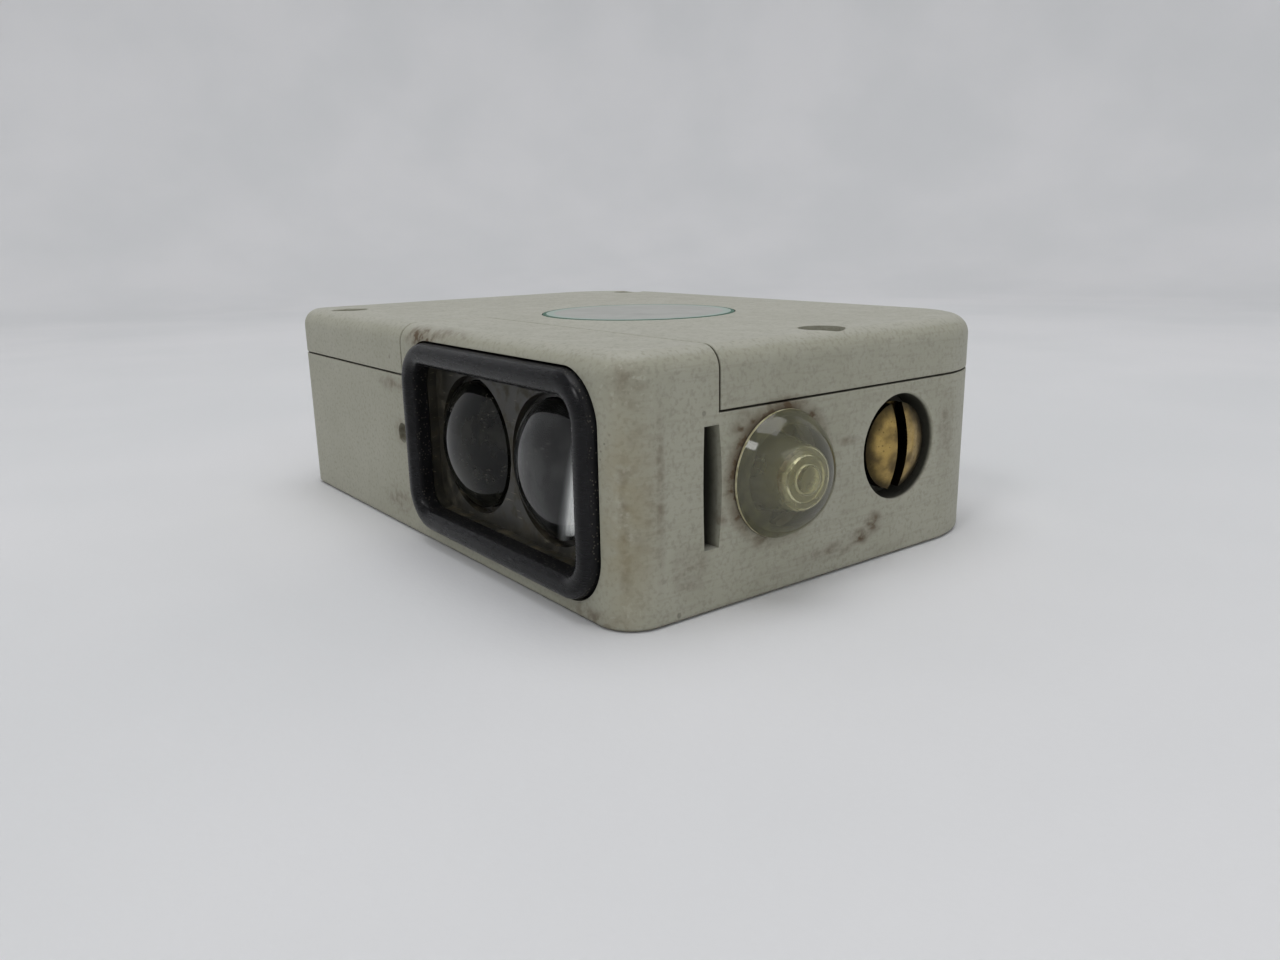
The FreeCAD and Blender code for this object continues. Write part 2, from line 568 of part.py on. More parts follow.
# ---- Electronics --------------------------------------------------------
BOARD_X = (-22.0, POT_BACK_X, 32.3)         # left end, the step in its back edge, right end
BOARD_BACK_Y = 25.5
CAN_R = 4.5
CAN_X = (-9.0, 2.0)
CAN_Y = 19.0
CAN_HEIGHT = 13.0
LEAD_R = 0.3
FILM_X = -9.0
FILM_Y = 4.0
FILM_SIZE = (2.6, 7.0, 6.6)
FILM_PITCH = 3.8
RESISTOR_R = 1.15
RESISTOR_HALF = 3.0
RESISTOR_PITCH = 2.9
RESISTOR_ROWS = ((-3.0, -13.0, 4), (11.5, 4.5, 3))      # X, first Y, how many


def main_board():
    """Board on four short pillars, cut back round the threaded insert and cover pillar."""
    front = LEDGE_Y + 0.6
    left_part = block(BOARD_X[0], BOARD_X[1], front, BOARD_BACK_Y, BOARD_Z, BOARD_TOP)
    right_part = block(BOARD_X[1], BOARD_X[2], front, ADJUSTER_Y + 5.2, BOARD_Z, BOARD_TOP)
    holes = [rod_z(BOARD_SCREW_R + 0.1, BOARD_Z - 1, BOARD_TOP + 1, x, y) for x, y in BOARD_SCREWS]
    return joined([left_part, right_part]).cut(Part.makeCompound(holes))


def board_screws():
    screw = slotted_screw(2.1, 1.4, BOARD_SCREW_R, BOARD_THICK + 2.8, 0.6)
    return group([placed(screw, x, y, BOARD_TOP, 35.0 * i) for i, (x, y) in enumerate(BOARD_SCREWS)])


def smoothing_capacitors():
    cans = []
    top = BOARD_TOP + CAN_HEIGHT
    for x in CAN_X:
        can = rod_z(CAN_R, BOARD_TOP + 0.3, top, x, CAN_Y)
        rim = [e for e in can.Edges if abs(e.BoundBox.ZMin - top) < 1e-6]
        legs = [rod_z(LEAD_R, BOARD_TOP, BOARD_TOP + 0.4, x + side, CAN_Y) for side in (-1.7, 1.7)]
        cans.append(joined([can.makeFillet(0.5, rim)] + legs))
    return group(cans)


def film_capacitors():
    boxes = []
    thick, wide, high = FILM_SIZE
    for i in range(4):
        x = FILM_X + FILM_PITCH * i
        body = rounded_block(x, x + thick, FILM_Y, FILM_Y + wide, BOARD_TOP + 0.4, BOARD_TOP + high,
                             0.5, "z")
        legs = [rod_z(LEAD_R, BOARD_TOP, BOARD_TOP + 0.5, x + thick / 2, y)
                for y in (FILM_Y + 1, FILM_Y + wide - 1)]
        boxes.append(joined([body] + legs))
    return group(boxes)


def resistor(x, y):
    """Axial resistor lying along X, its two leads bent down to the board."""
    z = BOARD_TOP + 1.5
    body = rod_x(RESISTOR_R, x - RESISTOR_HALF, x + RESISTOR_HALF, y, z)
    bend = RESISTOR_HALF + 1.4
    wires = [rod_x(LEAD_R, x - bend - 0.2, x + bend + 0.2, y, z)]
    wires += [rod_z(LEAD_R, BOARD_TOP, z, x + side, y) for side in (-bend, bend)]
    return joined([body] + wires)


def resistors():
    return group([resistor(x, first + RESISTOR_PITCH * i)
                  for x, first, count in RESISTOR_ROWS for i in range(count)])


def amplifier_chip():
    """Fourteen-leg chip package with a key notch at one end."""
    x0, length, y, half, pitch = 7.0, 19.0, -2.8, 3.2, 2.54
    body = block(x0, x0 + length, y - half, y + half, BOARD_TOP + 0.5, BOARD_TOP + 3.8)
    body = body.cut(rod_z(0.9, BOARD_TOP + 3.0, BOARD_TOP + 5, x0, y))
    legs = []
    for i in range(7):
        x = x0 + (length - 6 * pitch) / 2 + pitch * i
        for side in (-1, 1):
            y0, y1 = sorted((y + side * half, y + side * (half + 0.5)))
            legs.append(block(x - 0.4, x + 0.4, y0, y1, BOARD_TOP, BOARD_TOP + 2.2))
    return joined([body] + legs)


def output_transistor():
    """Flat power transistor standing on the board, with its cooling tab at the back."""
    x, y = 12.0, 17.5
    body = block(x - 5.0, x + 5.0, y - 2.2, y + 1.0, BOARD_TOP + 3.0, BOARD_TOP + 11.5)
    tab = block(x - 5.0, x + 5.0, y + 1.0, y + 2.3, BOARD_TOP + 3.0, BOARD_TOP + 17.0)
    tab = tab.cut(rod_y(1.8, y, y + 3, x, BOARD_TOP + 14.3))
    legs = [block(x + side - 0.4, x + side + 0.4, y - 0.6, y - 0.1, BOARD_TOP, BOARD_TOP + 3.1)
            for side in (-2.54, 0.0, 2.54)]
    return joined([body, tab] + legs)


WAYS = 5
WAY_PITCH = 5.0
TERMINAL_X = (-21.0, -12.5)
WAY_X = (TERMINAL_X[0] + TERMINAL_X[1]) / 2
WAY_Y = [WAY_PITCH * (i - (WAYS - 1) / 2) for i in range(WAYS)]
CLAMP_Z = (BOARD_TOP + 1.6, BOARD_TOP + 5.6)
TERMINAL_TOP = BOARD_TOP + 9.5


def terminal_block():
    """Wires go in from the -X side and screws from the top, five ways."""
    half = WAYS * WAY_PITCH / 2 + 0.6
    body = block(TERMINAL_X[0], TERMINAL_X[1], -half, half, BOARD_TOP, TERMINAL_TOP)
    cuts = []
    for y in WAY_Y:
        cuts.append(block(WAY_X - 2.0, WAY_X + 2.0, y - 1.7, y + 1.7, *CLAMP_Z))
        cuts.append(rod_x(1.3, TERMINAL_X[0] - 1, WAY_X, y, sum(CLAMP_Z) / 2))
        cuts.append(rod_z(1.9, CLAMP_Z[1] - 0.5, TERMINAL_TOP + 1, WAY_X, y))
    return body.cut(Part.makeCompound(cuts))


def terminal_clamps():
    clamps = []
    for y in WAY_Y:
        cage = block(WAY_X - 1.9, WAY_X + 1.9, y - 1.6, y + 1.6, CLAMP_Z[0], CLAMP_Z[1] - 0.6)
        clamps.append(cage.cut(rod_x(1.1, WAY_X - 3, WAY_X + 3, y, sum(CLAMP_Z) / 2)))
    return group(clamps)


def terminal_screws():
    screw = slotted_screw(1.75, 1.3, 1.2, 0.5, 0.6)
    return group([placed(screw, WAY_X, y, CLAMP_Z[1] + 0.1, 20.0 * i) for i, y in enumerate(WAY_Y)])


# ---- Cable gland at the -X end -----------------------------------------
GLAND_WASHER = 1.0
GLAND_FLANGE_R = 7.6
GLAND_FLATS = 15.0
SEAL_SEAT_R = 5.1
GLAND_HEX_X = LEFT - GLAND_WASHER - 4.5
GLAND_BODY_END_X = GLAND_HEX_X - 5.0
GLAND_END_X = GLAND_HEX_X - 7.5


def gland_washer():
    return ring_x(GLAND_THREAD_R + 0.05, GLAND_FLANGE_R, LEFT - GLAND_WASHER, LEFT, GLAND_Y, GLAND_Z)


def gland_body():
    """Threaded spigot through the wall, a hexagon outside, and the seal's seat."""
    flange_x = LEFT - GLAND_WASHER
    flange = rod_x(GLAND_FLANGE_R, flange_x - 1.0, flange_x, GLAND_Y, GLAND_Z)
    hexagon = hex_x(GLAND_FLATS, GLAND_HEX_X, flange_x - 1.0, GLAND_Y, GLAND_Z)
    spigot = rod_x(GLAND_THREAD_R, flange_x - 0.1, INNER_LEFT + 5.0, GLAND_Y, GLAND_Z)
    nose = rod_x(GLAND_THREAD_R, GLAND_BODY_END_X, GLAND_HEX_X + 0.1, GLAND_Y, GLAND_Z)
    bore = rod_x(4.2, -FAR, INNER_LEFT + 6.0, GLAND_Y, GLAND_Z)
    seat = rod_x(SEAL_SEAT_R, -FAR, GLAND_HEX_X + 1.0, GLAND_Y, GLAND_Z)
    return joined([flange, hexagon, spigot, nose]).cut(bore).cut(seat).removeSplitter()


def gland_seal():
    seal_end = GLAND_END_X + 1.4
    return ring_x(CABLE_R, SEAL_SEAT_R - 0.1, seal_end, GLAND_HEX_X + 1.0, GLAND_Y, GLAND_Z)


def gland_nut():
    hexagon = hex_x(GLAND_FLATS, GLAND_END_X + 2.5, GLAND_HEX_X - 0.2, GLAND_Y, GLAND_Z)
    nose = rod_x(7.2, GLAND_END_X, GLAND_END_X + 2.6, GLAND_Y, GLAND_Z)
    rim = [e for e in nose.Edges if abs(e.BoundBox.XMax - GLAND_END_X) < 1e-6]
    nose = nose.makeFillet(1.6, rim)
    bore = rod_x(3.8, GLAND_END_X - 1, GLAND_HEX_X + 1, GLAND_Y, GLAND_Z)
    seal_room = rod_x(SEAL_SEAT_R - 0.05, GLAND_END_X + 1.4, GLAND_HEX_X + 1, GLAND_Y, GLAND_Z)
    thread = rod_x(GLAND_THREAD_R + 0.05, GLAND_BODY_END_X - 0.2, GLAND_HEX_X + 1, GLAND_Y, GLAND_Z)
    return joined([hexagon, nose]).cut(Part.makeCompound([bore, seal_room, thread])).removeSplitter()


def gland_locknut():
    nut = hex_x(17.0, INNER_LEFT, INNER_LEFT + 2.6, GLAND_Y, GLAND_Z)
    return nut.cut(rod_x(GLAND_THREAD_R + 0.05, INNER_LEFT - 1, INNER_LEFT + 4, GLAND_Y, GLAND_Z))


# ---- Write every sub-part ----------------------------------------------
SUBPARTS = {
    "base_housing": base_housing, "top_cover": top_cover, "cover_gasket": cover_gasket,
    "cover_screws": cover_screws, "badge_plate": badge_plate, "mounting_inserts": mounting_inserts,
    "window_bezel": window_bezel, "bezel_seal": bezel_seal, "lens_holder": lens_holder,
    "emitter_lens": lambda: lens(LENS_X[0]), "receiver_lens": lambda: lens(LENS_X[1]),
    "lens_retaining_rings": lens_retaining_rings, "diode_carrier": diode_carrier,
    "emitter_diode": lambda: diode(LENS_X[0]), "receiver_diode": lambda: diode(LENS_X[1]),
    "optics_board": optics_board, "carrier_screws": carrier_screws,
    "indicator_dome": indicator_dome, "dome_seal": dome_seal, "dome_clip": dome_clip,
    "indicator_lamp": indicator_lamp, "lamp_holder": lamp_holder,
    "adjuster_screw": adjuster_screw, "potentiometer_rotor": potentiometer_rotor,
    "adjuster_bush": adjuster_bush, "adjuster_seal": adjuster_seal,
    "potentiometer_body": potentiometer_body, "potentiometer_pins": potentiometer_pins,
    "main_board": main_board, "board_screws": board_screws,
    "smoothing_capacitors": smoothing_capacitors, "film_capacitors": film_capacitors,
    "resistors": resistors, "amplifier_chip": amplifier_chip, "output_transistor": output_transistor,
    "terminal_block": terminal_block, "terminal_clamps": terminal_clamps,
    "terminal_screws": terminal_screws, "gland_washer": gland_washer, "gland_body": gland_body,
    "gland_seal": gland_seal, "gland_nut": gland_nut, "gland_locknut": gland_locknut,
}

os.makedirs("parts", exist_ok=True)
for name, make in SUBPARTS.items():
    shape = make()
    shape.exportStep("parts/" + name + ".step")
    print(name, len(shape.Solids), "solids", round(shape.Volume, 1), "mm3",
          "valid" if shape.isValid() else "INVALID")
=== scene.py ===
import math

import bmesh
import bpy
from mathutils import Matrix, Vector


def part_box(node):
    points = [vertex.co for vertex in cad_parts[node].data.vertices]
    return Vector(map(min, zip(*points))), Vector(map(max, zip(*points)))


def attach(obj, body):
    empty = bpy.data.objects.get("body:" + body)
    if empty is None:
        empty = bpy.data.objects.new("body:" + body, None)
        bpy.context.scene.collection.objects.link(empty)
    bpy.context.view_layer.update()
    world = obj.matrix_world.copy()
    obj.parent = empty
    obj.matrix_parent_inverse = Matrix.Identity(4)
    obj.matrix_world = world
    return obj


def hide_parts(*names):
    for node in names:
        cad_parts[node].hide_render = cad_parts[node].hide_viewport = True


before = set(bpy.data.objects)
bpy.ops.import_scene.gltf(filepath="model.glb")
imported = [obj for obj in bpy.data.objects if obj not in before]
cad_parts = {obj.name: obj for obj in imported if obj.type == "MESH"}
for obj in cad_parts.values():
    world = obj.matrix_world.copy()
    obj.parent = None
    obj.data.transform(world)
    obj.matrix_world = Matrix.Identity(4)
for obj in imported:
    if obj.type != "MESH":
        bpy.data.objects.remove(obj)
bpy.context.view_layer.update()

# A flat grey sensor with two lenses behind a black window, a clear dome and a brass adjuster.
# Everything is in metres in the part's frame: +X is the end with the dome, -Y the face with
# the lenses and +Z is up. Materials work in millimetres, on the object's own coordinates.
MM = 0.001

# ---- Places, read from the frame ---------------------------------------
CASE_LOW, CASE_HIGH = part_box("base_housing")
RIGHT, TOP = CASE_HIGH.x, CASE_HIGH.z
FRONT, BOTTOM = CASE_LOW.y, CASE_LOW.z
BEZEL_LOW, BEZEL_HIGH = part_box("window_bezel")
DOME_LOW, DOME_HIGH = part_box("indicator_dome")
BADGE_LOW, BADGE_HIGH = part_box("badge_plate")


def middle(node):
    low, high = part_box(node)
    return (low + high) / 2


DOME = middle("indicator_dome")
ADJUSTER = middle("adjuster_screw")
BADGE = middle("badge_plate")
LENSES = {name: middle(name) for name in ("emitter_lens", "receiver_lens")}
END_X, FACE_Y = RIGHT / MM, FRONT / MM       # the end face and the lens face, in mm
SLOT_HALF_WIDTH = 1.7       # mm, with its half height below
SLOT_HALF_HEIGHT = 6.3
COUNTERBORE_R = 6.1         # mm, just outside the wall round the adjuster
SLOT_FROM_FRONT = 10.6      # mm, front face to the middle of the upright slot in the end


# ---- Colours ------------------------------------------------------------
def srgb(red, green, blue):
    """A colour as seen on a screen, 0 to 255, in Blender's linear values."""
    def linear(value):
        value /= 255
        return value / 12.92 if value <= 0.04045 else ((value + 0.055) / 1.055) ** 2.4
    return (linear(red), linear(green), linear(blue), 1.0)


# ---- Material building --------------------------------------------------
class Look:
    """One material being built. Its methods add nodes and return their output sockets."""

    def __init__(self, name, **shader):
        self.material = bpy.data.materials.new(name)
        self.material.use_nodes = True
        self.nodes = self.material.node_tree.nodes
        self.links = self.material.node_tree.links
        self.nodes.clear()
        self.output = self.nodes.new("ShaderNodeOutputMaterial")
        self.shader = self.nodes.new("ShaderNodeBsdfPrincipled")
        self.links.new(self.shader.outputs["BSDF"], self.output.inputs["Surface"])
        self.coordinates = self.nodes.new("ShaderNodeTexCoord")
        self.mm = self.vector("SCALE", self.coordinates.outputs["Object"], 1 / MM)
        for socket, value in shader.items():
            self.set(socket.replace("_", " ").title().replace("Ior", "IOR"), value)

    def put(self, socket, value):
        if isinstance(value, bpy.types.NodeSocket):
            self.links.new(value, socket)
        else:
            socket.default_value = value

    def set(self, name, value):
        self.put(self.shader.inputs[name], value)

    def vector(self, operation, first, second):
        node = self.nodes.new("ShaderNodeVectorMath")
        node.operation = operation
        self.put(node.inputs[0], first)
        self.put(node.inputs["Scale" if operation == "SCALE" else 1], second)
        return node.outputs["Value" if operation in ("LENGTH", "DISTANCE") else "Vector"]

    def math(self, operation, first, second=0.0):
        node = self.nodes.new("ShaderNodeMath")
        node.operation = operation
        self.put(node.inputs[0], first)
        self.put(node.inputs[1], second)
        return node.outputs[0]

    def axis(self, name):
        node = self.nodes.new("ShaderNodeSeparateXYZ")
        self.links.new(self.mm, node.inputs[0])
        return node.outputs[name]

    def facing(self, name):
        """How far the surface faces along one of the object's axes, -1 to 1."""
        node = self.nodes.new("ShaderNodeSeparateXYZ")
        self.links.new(self.coordinates.outputs["Normal"], node.inputs[0])
        return node.outputs[name]

    def noise(self, size, detail=3.0, stretch=(1, 1, 1), seed=0):
        """Noise with features of about that many millimetres, longer by stretch along X, Y, Z."""
        scaled = self.vector("MULTIPLY", self.mm, tuple(1 / (size * s) for s in stretch))
        moved = self.vector("ADD", scaled, (seed * 7.3, seed * -4.1, seed * 2.9))
        node = self.nodes.new("ShaderNodeTexNoise")
        self.links.new(moved, node.inputs["Vector"])
        node.inputs["Scale"].default_value = 1.0
        node.inputs["Detail"].default_value = detail
        return node.outputs["Fac"]

    def cells(self, size, seed=0):
        """Distance from the nearest of many scattered points, in units of size."""
        scaled = self.vector("SCALE", self.mm, 1 / size)
        moved = self.vector("ADD", scaled, (seed * 3.7, seed * 5.3, seed * -1.9))
        node = self.nodes.new("ShaderNodeTexVoronoi")
        self.links.new(moved, node.inputs["Vector"])
        node.inputs["Scale"].default_value = 1.0
        return node.outputs["Distance"]

    def ramp(self, value, low, high, start=0.0, end=1.0):
        """Goes smoothly from start to end while value goes from low to high."""
        node = self.nodes.new("ShaderNodeMapRange")
        node.interpolation_type = "SMOOTHSTEP"
        for name, number in (("Value", value), ("From Min", low), ("From Max", high),
                             ("To Min", start), ("To Max", end)):
            self.put(node.inputs[name], number)
        return node.outputs["Result"]

    def mix(self, factor, first, second):
        node = self.nodes.new("ShaderNodeMix")
        node.data_type = "RGBA"
        self.put(node.inputs["Factor"], factor)
        self.put(node.inputs[6], first)
        self.put(node.inputs[7], second)
        return node.outputs[2]

    def spot(self, centre, radii):
        """1 at a place on the object, fading to 0 at the given distances along X, Y, Z (mm)."""
        offset = self.vector("SUBTRACT", self.mm, tuple(centre))
        scaled = self.vector("MULTIPLY", offset, tuple(1 / r for r in radii))
        return self.ramp(self.vector("LENGTH", scaled, (0, 0, 0)), 1.0, 0.0)

    def crevice(self, distance):
        """1 in corners and gaps narrower than that many millimetres, 0 in the open."""
        node = self.nodes.new("ShaderNodeAmbientOcclusion")
        node.samples = 6
        node.inputs["Distance"].default_value = distance * MM
        return self.math("SUBTRACT", 1.0, node.outputs["AO"])

    def highest(self, values):
        result = values[0]
        for value in values[1:]:
            result = self.math("MAXIMUM", result, value)
        return result

    def bump(self, *layers):
        """Layers of (height 0 to 1, depth in millimetres)."""
        normal = None
        for height, depth in layers:
            node = self.nodes.new("ShaderNodeBump")
            node.inputs["Distance"].default_value = depth * MM
            self.put(node.inputs["Height"], height)
            if normal:
                self.links.new(normal, node.inputs["Normal"])
            normal = node.outputs["Normal"]
        self.links.new(normal, self.shader.inputs["Normal"])

    def specks(self, size, radius, seed=0):
        """Scattered round dots of that radius, in units of size."""
        return self.ramp(self.cells(size, seed), radius, radius * 0.5)


def in_mm(vector):
    return Vector(vector) / MM


def dress(node, look):
    """Gives a CAD node its material."""
    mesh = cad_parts[node].data
    mesh.materials.clear()
    mesh.materials.append(look.material)
    for face in mesh.polygons:
        face.material_index = 0


# ---- Case ---------------------------------------------------------------
def dirt_places():
    """Where handling and grease have left brown marks: centre, reach and strength."""
    end, front = END_X, FACE_Y
    dome, adjuster = in_mm(DOME), in_mm(ADJUSTER)
    bezel_low, bezel_high = in_mm(BEZEL_LOW), in_mm(BEZEL_HIGH)
    return (
        ((end, dome.y - 5.3, dome.z + 4.8), (2, 2.2, 3.2), 0.85),
        ((end, dome.y - 0.5, dome.z + 6.8), (2, 4.5, 1.3), 0.95),
        ((end, dome.y - 2.6, dome.z - 6.3), (2, 3.4, 1.6), 0.55),
        ((end, adjuster.y - 4.0, adjuster.z - 8.0), (2, 2.2, 1.8), 0.85),
        ((end, adjuster.y - 6.2, adjuster.z - 9.2), (2, 2.8, 1.4), 0.85),
        ((end, adjuster.y - 11, adjuster.z - 9.8), (2, 7.5, 1.5), 0.4),
        ((end, adjuster.y - 8.7, adjuster.z + 1.9), (2, 2.2, 0.7), 0.45),
        ((end, dome.y - 8.0, dome.z - 3.0), (2, 1.4, 1.6), 0.45),
        ((end, adjuster.y + 8.5, adjuster.z + 1.0), (3, 2.4, 7.0), 0.35),
        ((end, front + 2, 13), (3, 4, 12), 0.35),
        ((end, front + 1, 23.5), (3, 3, 4), 0.55),
        ((end, front + 4.4, 12), (1.5, 0.9, 13), 0.45),
        ((end - 1.3, front + 1.3, 10), (1.0, 1.0, 12), 0.6),
        ((end, front + 8, 5), (2, 3.5, 4), 0.35),
        ((bezel_low.x + 3.5, front, bezel_high.z + 0.6), (5.5, 3, 2.0), 1.25),
        ((bezel_low.x + 9, front, bezel_high.z + 1.2), (9, 3, 1.3), 0.5),
        ((bezel_low.x - 5.5, front, 3.4), (6, 3, 2.6), 0.4),
        ((bezel_low.x - 5, front, 18.4), (6, 3, 1.5), 0.45),
        ((bezel_low.x - 3.5, front, 12.5), (2.4, 3, 2.4), 0.6),
        ((bezel_high.x + 1.6, front, 13), (1.6, 3, 10), 0.12),
        ((bezel_high.x - 1, front, 0.8), (8, 3, 1.6), 0.5),
    )


def end_recess_shade(look, x, y, z):
    """1 on the walls inside the end slot and the adjuster's counterbore, which get painted shade."""
    end = END_X
    adjuster = in_mm(ADJUSTER)
    slot = Vector((end, FACE_Y + SLOT_FROM_FRONT, adjuster.z))
    across = look.math("ABSOLUTE", look.math("SUBTRACT", y, slot.y))
    along = look.math("ABSOLUTE", look.math("SUBTRACT", z, slot.z))
    in_slot = look.math("MULTIPLY", look.ramp(across, SLOT_HALF_WIDTH + 0.3, SLOT_HALF_WIDTH),
                        look.ramp(along, SLOT_HALF_HEIGHT + 0.3, SLOT_HALF_HEIGHT))
    in_slot = look.math("MULTIPLY", in_slot, look.ramp(x, end - 0.2, end - 2.2))
    flat = look.vector("MULTIPLY", look.vector("SUBTRACT", look.mm, tuple(adjuster)), (0, 1, 1))
    in_hole = look.ramp(look.vector("LENGTH", flat, (0, 0, 0)), COUNTERBORE_R + 0.2, COUNTERBORE_R)
    in_hole = look.math("MULTIPLY", in_hole, look.ramp(x, end - 0.12, end - 0.6))
    near_end = look.ramp(x, end - 9.0, end - 8.5)
    return look.math("MULTIPLY", look.math("MAXIMUM", in_slot, in_hole), near_end)


def case_look():
    look = Look("case_grey")
    x, y, z = look.axis("X"), look.axis("Y"), look.axis("Z")
    on_end = look.ramp(look.math("ABSOLUTE", look.facing("X")), 0.6, 0.9)
    painted_light_on_top = look.ramp(look.facing("Z"), 0.6, 0.9)
    fine = look.noise(0.45, 4, seed=0.63)
    medium = look.noise(2.6, 4, seed=1)
    broad = look.noise(14, 3, seed=2)
    streaks = look.noise(0.35, 3, (8, 14, 1), seed=3)

    colour = look.mix(look.ramp(broad, 0.35, 0.65), srgb(166, 165, 149), srgb(159, 158, 141))
    colour = look.mix(look.ramp(medium, 0.42, 0.7, 0, 0.4), colour, srgb(169, 168, 154))
    # Painted light: faces turned upwards are painted paler, as a lit top.
    colour = look.mix(look.math("MULTIPLY", painted_light_on_top, 0.4), colour, srgb(181, 180, 171))
    colour = look.mix(look.ramp(fine, 0.46, 0.7, 0, 0.5), colour, srgb(136, 134, 118))
    streak_mask = look.math("MULTIPLY", look.ramp(streaks, 0.5, 0.68), on_end)
    colour = look.mix(look.math("MULTIPLY", streak_mask, 0.2), colour, srgb(130, 126, 110))

    ragged = look.ramp(look.noise(1.1, 5, (1, 1.6, 1), seed=4), 0.40, 0.66)
    marks = [look.math("MULTIPLY", look.spot(centre, radii), strength)
             for centre, radii, strength in dirt_places()]
    dome = in_mm(DOME)
    from_axis = look.vector("MULTIPLY", look.vector("SUBTRACT", look.mm, tuple(dome)), (0, 1, 1))
    away = look.vector("LENGTH", from_axis, (0, 0, 0))
    upper = look.ramp(look.math("SUBTRACT", z, look.math("MULTIPLY", y, 0.8)), dome.z + 4, dome.z + 10)
    lifted = look.math("ADD", look.math("MULTIPLY", upper, 0.7), 0.25)
    halo = look.math("MULTIPLY", look.ramp(away, 8.3, 6.6), lifted)
    marks.append(look.math("MULTIPLY", halo, look.ramp(x, END_X - 1, END_X - 0.3)))
    stain = look.math("MULTIPLY", look.highest(marks), look.math("ADD", ragged, 0.4))
    even = look.math("MULTIPLY", marks[-1], look.ramp(medium, 0.3, 0.6, 0.4, 0.9))
    stain = look.math("MAXIMUM", stain, even)
    colour = look.mix(stain, colour, srgb(92, 77, 58))

    # Painted shade and grime: corners and narrow gaps, found by ambient occlusion, are darkened.
    gaps = look.ramp(look.crevice(0.7), 0.25, 0.85)
    colour = look.mix(look.math("MULTIPLY", gaps, 0.75), colour, srgb(70, 62, 50))

    corner = in_mm((RIGHT, FRONT, 0))
    rub_places = (((corner.x - 1, corner.y + 1, 23.5), (5, 5, 4.5)),
                  ((corner.x - 1, corner.y + 1, 2.0), (4, 4, 4)),
                  ((corner.x - 1, corner.y + 1, 12), (2.2, 2.2, 13)))
    rubbed = look.highest([look.spot(centre, radii) for centre, radii in rub_places])
    rub = look.math("MULTIPLY", rubbed, look.ramp(look.noise(0.7, 5, seed=5), 0.56, 0.66))
    colour = look.mix(look.math("MULTIPLY", rub, 0.45), colour, srgb(190, 188, 174))

    grease = look.spot((corner.x - 1, corner.y + 1, 11), (4.5, 4.5, 17))
    colour = look.mix(look.math("MULTIPLY", grease, look.ramp(medium, 0.3, 0.6, 0.25, 0.7)), colour,
                      srgb(146, 138, 110))

    near_bezel = look.spot((in_mm(BEZEL_HIGH).x + 1.0, corner.y, 16.5), (1.5, 3, 6))
    pits = look.highest([look.math("MULTIPLY", look.specks(0.75, 0.2, 1), near_bezel),
                         look.math("MULTIPLY", look.specks(7.0, 0.05, 2), 0.8)])
    colour = look.mix(look.math("MULTIPLY", pits, 0.5), colour, srgb(66, 62, 52))

    # Painted shade: the walls inside the end slot and the counterbore are made near black.
    colour = look.mix(look.math("MULTIPLY", end_recess_shade(look, x, y, z), 0.9), colour, srgb(38, 37, 30))
    look.set("Base Color", colour)
    rough = look.ramp(medium, 0.3, 0.7, 0.46, 0.6)
    look.set("Roughness", look.math("ADD", rough, look.math("MULTIPLY", stain, 0.2)))
    look.set("Specular IOR Level", 0.42)
    look.bump((fine, 0.022), (look.noise(0.12, 2, seed=6), 0.007), (streaks, 0.003),
              (look.math("SUBTRACT", 1.0, pits), 0.03))
    return look


# ---- Window -------------------------------------------------------------
def bezel_look():
    look = Look("bezel_black")
    flank = look.ramp(look.math("ABSOLUTE", look.facing("Y")), 0.55, 0.2)
    haze = look.noise(5, 4, seed=1)
    scuffs = look.noise(0.25, 4, (6, 6, 1), seed=2)
    grains = look.specks(0.35, 0.3, 3)
    colour = look.mix(look.ramp(haze, 0.35, 0.7), srgb(9, 9, 11), srgb(16, 16, 18))
    dusty = look.math("MULTIPLY", look.math("MULTIPLY", flank, grains), 0.75)
    colour = look.mix(dusty, colour, srgb(84, 80, 70))
    look.set("Base Color", colour)
    rough = look.ramp(scuffs, 0.35, 0.75, 0.24, 0.3)
    look.set("Roughness", look.math("ADD", rough, look.math("MULTIPLY", flank, 0.3)))
    look.set("Specular IOR Level", 0.22)
    look.bump((look.noise(1.6, 2, seed=4), 0.006), (look.math("MULTIPLY", grains, flank), 0.03))
    return look


def recess_look():
    look = Look("recess_black")
    upward = look.ramp(look.facing("Z"), 0.1, 0.8)
    dust = look.ramp(look.noise(1.6, 6, seed=1), 0.42, 0.75)
    colour = look.mix(look.ramp(look.noise(4, 3, seed=2), 0.3, 0.7), srgb(32, 31, 25), srgb(47, 45, 37))
    settled = look.math("MULTIPLY", look.math("ADD", look.math("MULTIPLY", upward, 0.5), 0.3), dust)
    colour = look.mix(settled, colour, srgb(96, 88, 68))
    threads = look.ramp(look.noise(0.3, 2, (9, 3, 1), seed=5), 0.66, 0.72)
    colour = look.mix(look.math("MULTIPLY", threads, 0.35), colour, srgb(150, 144, 122))
    look.set("Base Color", colour)
    look.set("Roughness", look.ramp(dust, 0, 1, 0.42, 0.85))
    look.bump((look.noise(0.3, 2, seed=3), 0.004), (dust, 0.01))
    return look


def lens_dust(look):
    """Fine dust in a few patches, 0 to 1."""
    return look.math("MULTIPLY", look.ramp(look.noise(0.35, 5, (1.6, 1, 0.7), seed=3), 0.55, 0.7),
                     look.ramp(look.noise(4, 3, seed=4), 0.5, 0.62))


def dark_lens_look():
    """Glass painted dark as painted shade for the shaded inside seen through it, with cloudy patches and
    dust.
    """
    look = Look("lens_dark", ior=1.5, specular_ior_level=0.28)
    patches = look.ramp(look.noise(2.6, 5, (0.8, 1, 1.2), seed=1), 0.4, 0.6)
    dust = lens_dust(look)
    colour = look.mix(patches, srgb(34, 34, 29), srgb(9, 10, 9))
    colour = look.mix(look.math("MULTIPLY", dust, 0.3), colour, srgb(120, 116, 104))
    look.set("Base Color", colour)
    look.set("Roughness", look.ramp(dust, 0, 1, 0.04, 0.3))
    look.bump((look.noise(4, 1, seed=5), 0.002), (dust, 0.001))
    return look


